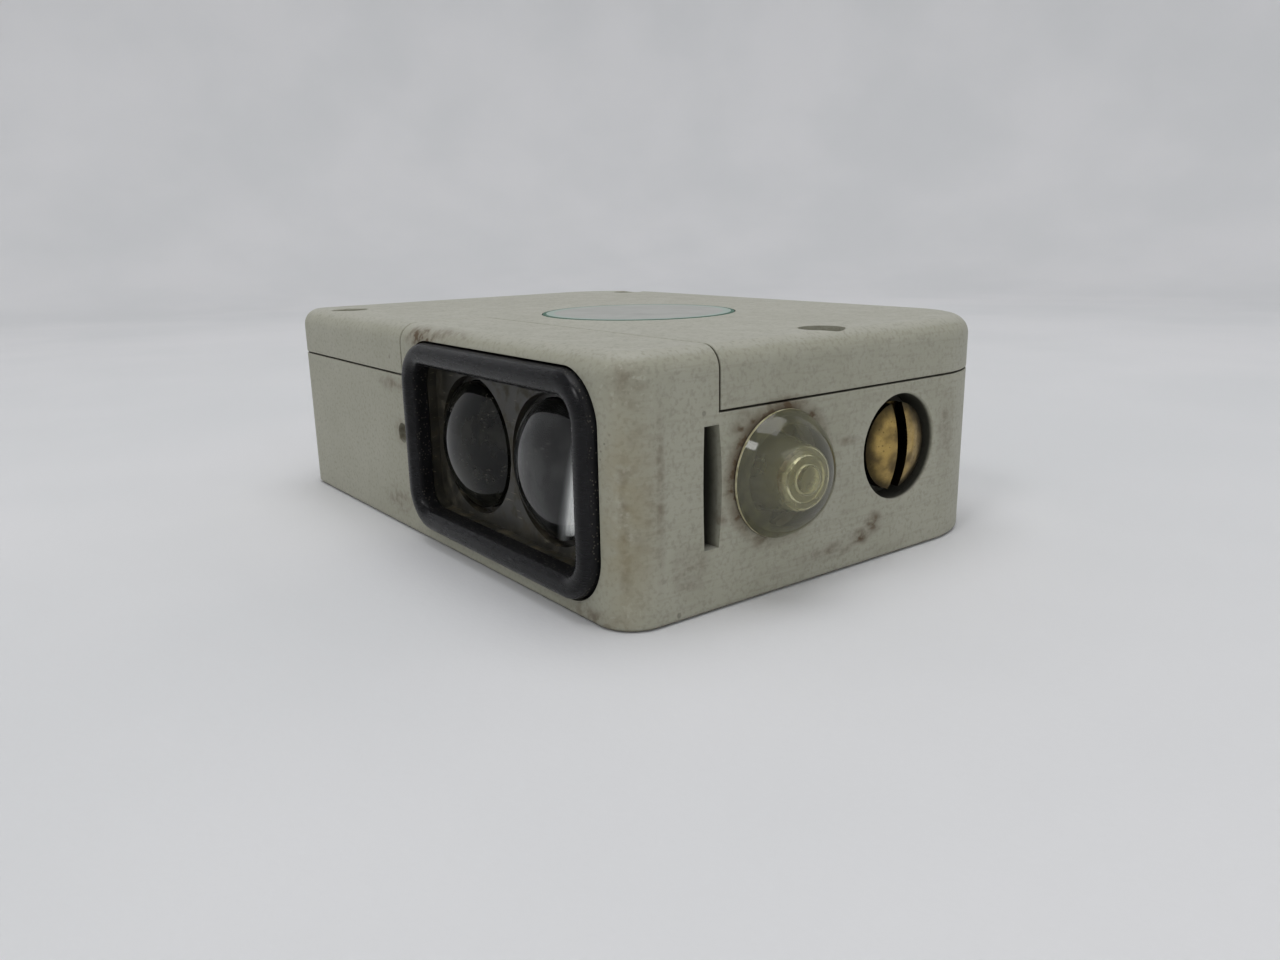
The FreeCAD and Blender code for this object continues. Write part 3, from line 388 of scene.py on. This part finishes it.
def clear_lens_look():
    """Clear glass under a thin, patchy film of dust."""
    look = Look("lens_clear", ior=1.5, specular_ior_level=0.28)
    patches = look.ramp(look.noise(3.2, 5, (0.8, 1, 1.2), seed=1), 0.36, 0.62)
    dust = lens_dust(look)
    film = look.ramp(patches, 0, 1, 0.032, 0.004)
    film = look.math("ADD", film, look.math("MULTIPLY", dust, 0.07))
    look.set("Base Color", look.mix(dust, srgb(236, 238, 234), srgb(214, 210, 192)))
    look.set("Transmission Weight", look.math("SUBTRACT", 1.0, film))
    look.set("Roughness", look.ramp(dust, 0, 1, 0.0, 0.2))
    look.bump((look.noise(4, 1, seed=5), 0.002))
    return look


def lens_back_look(node, clear_side):
    """Back of a lens, painted black as painted shade for the dark inside, but for a clear strip that starts
    clear_side (mm) right of its middle.
    """
    look = Look(node + "_back", ior=1.5)
    offset = look.nodes.new("ShaderNodeSeparateXYZ")
    look.links.new(look.vector("SUBTRACT", look.mm, tuple(in_mm(LENSES[node]))), offset.inputs[0])
    lean = look.math("MULTIPLY", offset.outputs["Z"], 0.25)
    sideways = look.math("SUBTRACT", offset.outputs["X"], lean)
    clear = look.ramp(sideways, clear_side - 0.9, clear_side + 0.9)
    blotch = look.ramp(look.noise(1.6, 6, seed=1), 0.38, 0.66)
    colour = look.mix(blotch, srgb(2, 2, 2), srgb(9, 9, 8))
    look.set("Base Color", look.mix(clear, colour, srgb(238, 242, 245)))
    look.set("Transmission Weight", clear)
    look.set("Roughness", look.ramp(clear, 0, 1, 0.6, 0.0))
    look.set("Specular IOR Level", 0.0)
    look.bump((blotch, 0.002))
    return look


# ---- Indicator ----------------------------------------------------------
def dome_look():
    look = Look("dome_clear", ior=1.45, transmission_weight=0.92)
    clouds = look.ramp(look.noise(3.5, 5, seed=1), 0.4, 0.7)
    scratch = look.ramp(look.noise(0.14, 3, (1, 12, 1), seed=2), 0.68, 0.76)
    look.set("Base Color", look.mix(clouds, srgb(236, 233, 196), srgb(224, 219, 172)))
    look.set("Roughness", look.math("ADD", look.ramp(clouds, 0, 1, 0.05, 0.11),
                                    look.math("MULTIPLY", scratch, 0.15)))
    look.bump((look.noise(3, 1, seed=3), 0.004), (scratch, 0.0015))
    return look


def dome_inside_look():
    """The moulded hollow of the dome, a little rough."""
    look = Look("dome_inside", ior=1.45, transmission_weight=0.86)
    clouds = look.ramp(look.noise(2.0, 4, seed=1), 0.35, 0.7)
    look.set("Base Color", look.mix(clouds, srgb(240, 238, 208), srgb(226, 222, 182)))
    look.set("Roughness", look.ramp(clouds, 0, 1, 0.16, 0.3))
    look.bump((clouds, 0.01))
    return look


def dome_edge_look():
    """The whitened edge of the dome's rim."""
    look = Look("dome_edge", ior=1.45, transmission_weight=0.3)
    worn = look.ramp(look.noise(0.8, 4, seed=1), 0.35, 0.65)
    look.set("Base Color", look.mix(worn, srgb(232, 226, 190), srgb(176, 168, 128)))
    look.set("Roughness", look.ramp(worn, 0, 1, 0.35, 0.6))
    look.bump((worn, 0.02))
    return look


def dome_underside_look():
    """Painted shade under the dome's rim, between the rim and its seal: dark and cloudy."""
    look = Look("dome_underside")
    clouds = look.ramp(look.noise(1.2, 5, seed=1), 0.35, 0.7)
    look.set("Base Color", look.mix(clouds, srgb(50, 51, 40), srgb(92, 91, 72)))
    look.set("Roughness", look.ramp(clouds, 0, 1, 0.6, 0.8))
    look.bump((clouds, 0.02))
    return look


# ---- Metals -------------------------------------------------------------
HEAD_FLAT, HEAD_EDGE = 0.955, 0.912     # how squarely the adjuster's head faces out


def metal_look(name, clean, stained, rough, grain=(1, 1, 1), amount=0.6, grime_and_shade=0.0,
               wave=0.01, edge=False):
    """Worn metal: a stained film over brighter spots, fine scratches, dirt and painted shade in the gaps, and
    painted shade on a turned-away rim when edge is set.
    """
    look = Look(name, metallic=1.0)
    film = look.ramp(look.noise(2.2, 4, seed=1), 0.3, 0.7)
    pits = look.specks(0.8, 0.16, 2)
    colour = look.mix(look.math("MULTIPLY", film, amount), clean, stained)
    colour = look.mix(look.math("MULTIPLY", pits, 0.5), colour, tuple(c * 0.3 for c in stained[:3]) + (1,))
    if grime_and_shade:
        # Painted shade and dirt: hollows found by ambient occlusion are made almost black.
        gaps = look.ramp(look.crevice(grime_and_shade), 0.12, 0.55)
        colour = look.mix(look.math("MULTIPLY", gaps, 0.92), colour, srgb(26, 23, 18))
    if edge:
        # Painted shade: the head's rim, where it turns from the end face, is darkened.
        shaded_rim = look.ramp(look.facing("X"), HEAD_FLAT, HEAD_EDGE)
        colour = look.mix(look.math("MULTIPLY", shaded_rim, 0.85), colour, srgb(40, 36, 27))
    look.set("Base Color", colour)
    look.set("Roughness", look.ramp(film, 0, 1, rough, rough + 0.22))
    scratches = look.noise(0.12, 3, grain, seed=3)
    look.bump((scratches, 0.006), (look.math("SUBTRACT", 1.0, pits), 0.02),
              (look.noise(0.9, 4, seed=4), 0.02), (look.noise(3.5, 2, seed=5), wave))
    return look


# ---- Everything else ----------------------------------------------------
def plain_look(name, light, dark, rough, grain=0.5, blotch=4.0, spec=0.5, depth=0.01):
    """Moulded, rubber or lacquered surface: two tones, fine grain and uneven gloss."""
    look = Look(name)
    tone = look.ramp(look.noise(blotch, 4, seed=1), 0.3, 0.7)
    colour = look.mix(tone, light, dark)
    colour = look.mix(look.ramp(look.noise(grain, 3, seed=2), 0.6, 0.8, 0, 0.3), colour, dark)
    look.set("Base Color", colour)
    look.set("Roughness", look.ramp(tone, 0, 1, rough, rough + 0.12))
    look.set("Specular IOR Level", spec)
    look.bump((look.noise(grain, 3, seed=3), depth))
    return look


def board_look():
    """Green laminate with copper tracks under the lacquer and a woven grain."""
    look = Look("board_laminate")
    weave = look.math("MULTIPLY", look.noise(0.5, 1, (4, 1, 1)), look.noise(0.5, 1, (1, 4, 1), seed=1))
    node = look.nodes.new("ShaderNodeTexBrick")
    look.links.new(look.mm, node.inputs["Vector"])
    node.inputs["Scale"].default_value = 0.35
    node.inputs["Mortar Size"].default_value = 0.06
    tracks = look.math("SUBTRACT", 1.0, node.outputs["Fac"])
    colour = look.mix(look.ramp(weave, 0.1, 0.4), srgb(38, 84, 46), srgb(54, 104, 58))
    colour = look.mix(look.math("MULTIPLY", look.math("SUBTRACT", 1.0, tracks), 0.6), colour,
                      srgb(96, 132, 72))
    look.set("Base Color", colour)
    look.set("Roughness", look.ramp(weave, 0.1, 0.4, 0.35, 0.5))
    look.bump((weave, 0.01), (node.outputs["Fac"], 0.03))
    return look


def clear_look(name, tint, ior=1.5):
    """Clear cast body, slightly cloudy."""
    look = Look(name, ior=ior, transmission_weight=0.9)
    clouds = look.ramp(look.noise(1.5, 4, seed=1), 0.3, 0.7)
    look.set("Base Color", look.mix(clouds, tint, tuple(c * 0.8 for c in tint[:3]) + (1,)))
    look.set("Roughness", look.ramp(clouds, 0, 1, 0.06, 0.16))
    look.bump((look.noise(0.5, 3, seed=2), 0.004))
    return look


def resistor_look():
    """Beige lacquer with plain colour bands across the body."""
    look = Look("resistor_lacquer")
    low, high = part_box("resistors")
    tone = look.ramp(look.noise(0.8, 4, seed=1), 0.3, 0.7)
    colour = look.mix(tone, srgb(206, 178, 132), srgb(186, 156, 112))
    bands = look.ramp(look.math("SINE", look.math("MULTIPLY", look.axis("X"), math.tau / 1.5)), 0.6, 0.75)
    bands = look.math("MULTIPLY", bands, look.ramp(look.axis("Z"), in_mm(high).z - 2.0, in_mm(high).z - 1.8))
    colour = look.mix(bands, colour, srgb(120, 62, 34))
    look.set("Base Color", colour)
    look.set("Roughness", look.ramp(tone, 0, 1, 0.3, 0.42))
    look.bump((tone, 0.01))
    return look


def badge_look():
    """Pale enamel disc: a green line round the edge and two faint worn patches."""
    look = Look("badge_enamel")
    offset = look.vector("SUBTRACT", look.mm, tuple(in_mm(BADGE)))
    flat = look.vector("MULTIPLY", offset, (1, 1, 0))
    radius = look.vector("LENGTH", flat, (0, 0, 0))
    edge = (in_mm(BADGE_HIGH) - in_mm(BADGE_LOW)).x / 2
    cloud = look.noise(3.0, 3, seed=1)
    colour = look.mix(look.ramp(cloud, 0.3, 0.7), srgb(168, 169, 164), srgb(164, 165, 160))
    centre = in_mm(BADGE)
    worn = look.highest([look.spot((centre.x + dx, centre.y + dy, centre.z), (3.6, 2.6, 2))
                         for dx, dy in ((-3.2, 2.4), (3.4, -2.2))])
    colour = look.mix(look.math("MULTIPLY", worn, look.ramp(cloud, 0.35, 0.6, 0.2, 0.5)), colour,
                      srgb(152, 152, 149))
    ring = look.math("MULTIPLY", look.ramp(radius, edge - 1.6, edge - 1.4),
                     look.ramp(radius, edge - 0.4, edge - 0.5))
    colour = look.mix(look.math("MULTIPLY", ring, 0.5), colour, srgb(150, 178, 166))
    rim = look.ramp(radius, edge - 0.55, edge - 0.45)
    colour = look.mix(rim, colour, srgb(58, 98, 80))
    look.set("Base Color", colour)
    look.set("Roughness", look.ramp(cloud, 0.3, 0.7, 0.5, 0.56))
    look.set("Specular IOR Level", 0.3)
    look.bump((look.noise(0.4, 2, seed=3), 0.001), (look.math("SUBTRACT", 1.0, rim), 0.02))
    return look


# ---- Mesh pieces --------------------------------------------------------
SEGMENTS = 128              # faces round a turned piece


def lathe(name, profile, place, axis, segments=SEGMENTS):
    """A turned piece: profile is (radius, height) pairs from the axis out and back to it."""
    mesh = bpy.data.meshes.new(name)
    shape = bmesh.new()
    rings = []
    for radius, height in profile:
        if radius < 1e-9:
            rings.append([shape.verts.new((0, 0, height))])
            continue
        ring = []
        for i in range(segments):
            angle = math.tau * i / segments
            ring.append(shape.verts.new((radius * math.cos(angle), radius * math.sin(angle), height)))
        rings.append(ring)
    for near, far in zip(rings, rings[1:]):
        for i in range(segments):
            j = (i + 1) % segments
            if len(near) == 1:
                shape.faces.new((near[0], far[i], far[j]))
            elif len(far) == 1:
                shape.faces.new((near[i], far[0], near[j]))
            else:
                shape.faces.new((near[i], far[i], far[j], near[j]))
    bmesh.ops.recalc_face_normals(shape, faces=shape.faces)
    shape.to_mesh(mesh)
    shape.free()
    turn = Vector((0, 0, 1)).rotation_difference(Vector(axis)).to_matrix().to_4x4()
    mesh.transform(Matrix.Translation(place) @ turn)
    for face in mesh.polygons:
        face.use_smooth = True
    mesh.set_sharp_from_angle(angle=math.radians(35))
    piece = bpy.data.objects.new(name, mesh)
    bpy.context.scene.collection.objects.link(piece)
    return piece


def arc(centre, radius, start, end, steps):
    """Points on a circle in the (radius, height) plane; angles in degrees from the axis."""
    points = []
    for i in range(steps + 1):
        angle = math.radians(start + (end - start) * i / steps)
        points.append((centre[0] + radius * math.sin(angle), centre[1] + radius * math.cos(angle)))
    return points


def finish_piece(piece, look, nodes, body="root"):
    piece.data.materials.append(look.material)
    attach(piece, body)
    if nodes:
        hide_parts(*nodes)


def cap_profile(rim_radius, sag, base, steps=32):
    """From the tip of a spherical cap down to its rim, on the axis first."""
    sphere = (rim_radius ** 2 + sag ** 2) / (2 * sag)
    reach = math.degrees(math.asin(rim_radius / sphere))
    return arc((0, base + sag - sphere), sphere, 0, reach, steps)


LENS_BULGE, LENS_FLANGE, LENS_RADIUS = 2.8 * MM, 1.36 * MM, 7.2 * MM


def make_lens(node, look, back_look=None):
    """Plano-convex lens with a straight neck, a ground bevel and a flange at its back."""
    low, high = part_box(node)
    place = Vector(((low.x + high.x) / 2, high.y, (low.z + high.z) / 2))
    depth = high.y - low.y
    sag, flange_thick, neck = LENS_BULGE, LENS_FLANGE, LENS_RADIUS
    flange = (high.x - low.x) / 2
    bevel, gap = 0.12 * MM, 0.04 * MM
    profile = cap_profile(neck, sag, depth - sag)
    profile += [(neck, flange_thick), (flange - bevel, flange_thick), (flange, flange_thick - bevel),
                (flange, bevel), (flange - bevel, gap), (0, gap)]
    piece = lathe(node + "_glass", profile, place, (0, -1, 0))
    finish_piece(piece, look, [node])
    if back_look is None:
        return
    piece.data.materials.append(back_look.material)
    behind = high.y - flange_thick - 0.3 * MM       # faces further back get the back's look
    for face in piece.data.polygons:
        if face.center.y > behind:
            face.material_index = 1


def make_dome(look, inside_look, underside_look, edge_look):
    """Clear dome with a thin rim, hollow inside with two steps that end in a small well."""
    proud = DOME_HIGH.x - RIGHT
    radius = (DOME_HIGH.y - DOME_LOW.y) / 2
    stem, rim, ease, gap = 4.2 * MM, 0.3 * MM, 0.12 * MM, 0.04 * MM
    inner_end = DOME_LOW.x - RIGHT
    bore, bore_end, well, well_end = 2.9 * MM, 2.4 * MM, 1.4 * MM, 3.3 * MM
    outside = cap_profile(radius, proud - rim, rim, 40)[:-1]
    outside += [(radius - ease * 0.2, rim + ease), (radius, rim), (radius, ease + gap),
                (radius - ease, gap), (stem, gap), (stem, inner_end)]
    inside = [(bore, inner_end), (bore, bore_end - 0.7 * MM)]
    inside += arc((bore - 0.35 * MM, bore_end - 0.35 * MM), 0.35 * MM, 90, 0, 6)
    inside += [(2.1 * MM, bore_end), (2.05 * MM, bore_end + 0.25 * MM), (well, bore_end + 0.3 * MM)]
    inside += [(well, well_end - 0.3 * MM)]
    inside += arc((well - 0.3 * MM, well_end - 0.3 * MM), 0.3 * MM, 90, 0, 5)
    inside += [(0.55 * MM, well_end), (0.0, well_end + 0.12 * MM)]
    piece = lathe("indicator_dome_clear", outside + inside, Vector((RIGHT, DOME.y, DOME.z)), (1, 0, 0))
    finish_piece(piece, look, ["indicator_dome"])
    piece.data.materials.append(inside_look.material)
    piece.data.materials.append(underside_look.material)
    piece.data.materials.append(edge_look.material)
    first_under = len(outside) - 4
    first_inside = len(outside) - 1
    for face in piece.data.polygons:
        step = face.index // SEGMENTS
        if step >= first_inside:
            face.material_index = 1
        elif step >= first_under:
            face.material_index = 2
        elif step >= first_under - 2:
            face.material_index = 3


# ---- Set ----------------------------------------------------------------
def paper_look():
    look = Look("paper_white")
    soft = look.noise(90, 3, seed=1)
    fibre = look.noise(0.6, 4, seed=2)
    colour = look.mix(look.ramp(soft, 0.3, 0.7), srgb(226, 226, 227), srgb(219, 220, 221))
    look.set("Base Color", colour)
    look.set("Roughness", look.ramp(soft, 0.3, 0.7, 0.7, 0.8))
    look.set("Specular IOR Level", 0.2)
    look.bump((fibre, 0.02))
    return look


def make_sweep():
    """Paper floor that curves up into a wall all round."""
    flat, bend, wall = 0.42, 0.22, 2.2
    profile = [(0.0, 0.0)] + [(flat * i / 6, 0.0) for i in range(1, 7)]
    profile += [(flat + r, h) for r, h in arc((0, bend), bend, 180, 90, 24)[1:]]
    profile.append((flat + bend, wall))
    sweep = lathe("paper_sweep", profile, Vector((0, 0, -0.00002)), (0, 0, 1), 192)
    sweep.data.materials.append(paper_look().material)
    inside = Vector((0, 0, 1))
    for face in sweep.data.polygons:
        if face.normal.dot(inside - face.center) < 0:
            face.flip()


def area_light(name, place, target, size, power):
    data = bpy.data.lights.new(name, "AREA")
    data.shape = "RECTANGLE"
    data.size, data.size_y = size
    data.energy = power
    light = bpy.data.objects.new(name, data)
    light.location = place
    light.rotation_mode = "QUATERNION"
    light.rotation_quaternion = (Vector(target) - Vector(place)).to_track_quat("-Z", "Y")
    bpy.context.scene.collection.objects.link(light)


OVERHEAD, KEY, SIDE, ROOM = 2.2, 0.72, 0.38, 0.76      # lamp powers in watts, and the room's glow


def make_lights():
    area_light("overhead", (-0.02, 0.03, 0.75), (0, 0, 0), (0.55, 0.55), OVERHEAD)
    area_light("key", (0.15, -0.5, 0.6), (0, 0, 0.01), (0.17, 0.17), KEY)
    area_light("side", (0.6, 0.05, 0.3), (0, 0, 0.01), (0.4, 0.3), SIDE)
    world = bpy.data.worlds.new("room")
    world.use_nodes = True
    background = world.node_tree.nodes["Background"]
    background.inputs["Color"].default_value = (0.95, 0.96, 1.0, 1)
    background.inputs["Strength"].default_value = ROOM
    bpy.context.scene.world = world
    bpy.context.scene.view_settings.view_transform = "Standard"


def make_camera():
    """Low three-quarter view past the corner between the lens face and the end face."""
    height = TOP - BOTTOM
    corner = Vector((RIGHT, FRONT, BOTTOM))
    yaw, pitch, roll = math.radians(52.74), math.radians(14.37), math.radians(-1.06)
    forward = Vector((-math.sin(yaw) * math.cos(pitch), math.cos(yaw) * math.cos(pitch), -math.sin(pitch)))
    across = forward.cross(Vector((0, 0, 1))).normalized()
    upward = across.cross(forward)
    right = math.cos(roll) * across + math.sin(roll) * upward
    up = math.cos(roll) * upward - math.sin(roll) * across
    data = bpy.data.cameras.new("camera")
    data.lens = 27.46
    data.sensor_width = 36.0
    data.clip_start = 0.005
    camera = bpy.data.objects.new("camera", data)
    turn = Matrix((right, up, -forward)).transposed().to_4x4()
    place = corner + Vector((2.569, -1.872, 1.398)) * height
    camera.matrix_world = Matrix.Translation(place) @ turn
    bpy.context.scene.collection.objects.link(camera)
    bpy.context.scene.camera = camera


# ---- Build --------------------------------------------------------------
def dress_all():
    case = case_look()
    recess = recess_look()
    rubber = plain_look("rubber_black", srgb(24, 24, 23), srgb(34, 32, 29), 0.62, 0.6, 2.0, 0.3, 0.003)
    steel = metal_look("steel_zinc", srgb(176, 174, 168), srgb(120, 110, 94), 0.3)
    brass = metal_look("brass_tarnished", srgb(178, 152, 92), srgb(88, 76, 54), 0.3, (1, 6, 1), 0.85, 2.4,
                       0.3)
    screw = metal_look("brass_worn_screw", srgb(178, 152, 92), srgb(88, 76, 54), 0.26, (1, 6, 1), 0.9, 2.4,
                       0.5, True)
    nickel = metal_look("nickel_satin", srgb(186, 182, 172), srgb(140, 132, 116), 0.28, (1, 5, 5), 0.5)
    tin = metal_look("tin_bright", srgb(204, 203, 200), srgb(168, 166, 160), 0.3, (1, 1, 1), 0.4)
    green = plain_look("terminal_green", srgb(62, 92, 70), srgb(50, 78, 58), 0.45, 0.5, 5.0)
    black = plain_look("component_black", srgb(34, 34, 35), srgb(24, 24, 26), 0.5, 0.2, 3.0)
    laminate = board_look()
    diode = clear_look("diode_smoky", srgb(120, 110, 140), 1.54)
    nodes_by_look = (
        (case, ("base_housing", "top_cover")),
        (recess, ("lens_holder", "lens_retaining_rings", "diode_carrier", "lamp_holder")),
        (rubber, ("cover_gasket", "bezel_seal", "dome_seal", "adjuster_seal", "gland_washer", "gland_seal")),
        (steel, ("cover_screws", "carrier_screws", "board_screws", "terminal_screws", "dome_clip")),
        (screw, ("adjuster_screw",)),
        (brass, ("adjuster_bush", "mounting_inserts")),
        (nickel, ("gland_body", "gland_nut", "gland_locknut")),
        (tin, ("terminal_clamps", "potentiometer_pins")),
        (green, ("terminal_block", "potentiometer_rotor")),
        (black, ("amplifier_chip", "output_transistor")),
        (laminate, ("main_board", "optics_board")),
        (diode, ("emitter_diode", "receiver_diode")),
        (bezel_look(), ("window_bezel",)),
        (badge_look(), ("badge_plate",)),
        (clear_look("lamp_amber", srgb(206, 120, 78), 1.5), ("indicator_lamp",)),
        (plain_look("pot_blue", srgb(46, 66, 118), srgb(36, 54, 98), 0.4, 0.4, 4.0), ("potentiometer_body",)),
        (plain_look("sleeve_blue", srgb(34, 46, 92), srgb(26, 36, 74), 0.25, 0.8, 6.0),
         ("smoothing_capacitors",)),
        (plain_look("film_red", srgb(164, 62, 42), srgb(138, 48, 34), 0.22, 0.9, 3.0, 0.5, 0.04),
         ("film_capacitors",)),
        (resistor_look(), ("resistors",)),
    )
    for look, nodes in nodes_by_look:
        for node in nodes:
            dress(node, look)


make_camera()
make_sweep()
make_lights()
dress_all()
make_lens("emitter_lens", dark_lens_look())
make_lens("receiver_lens", clear_lens_look(), lens_back_look("receiver_lens", 0.2))
make_dome(dome_look(), dome_inside_look(), dome_underside_look(), dome_edge_look())
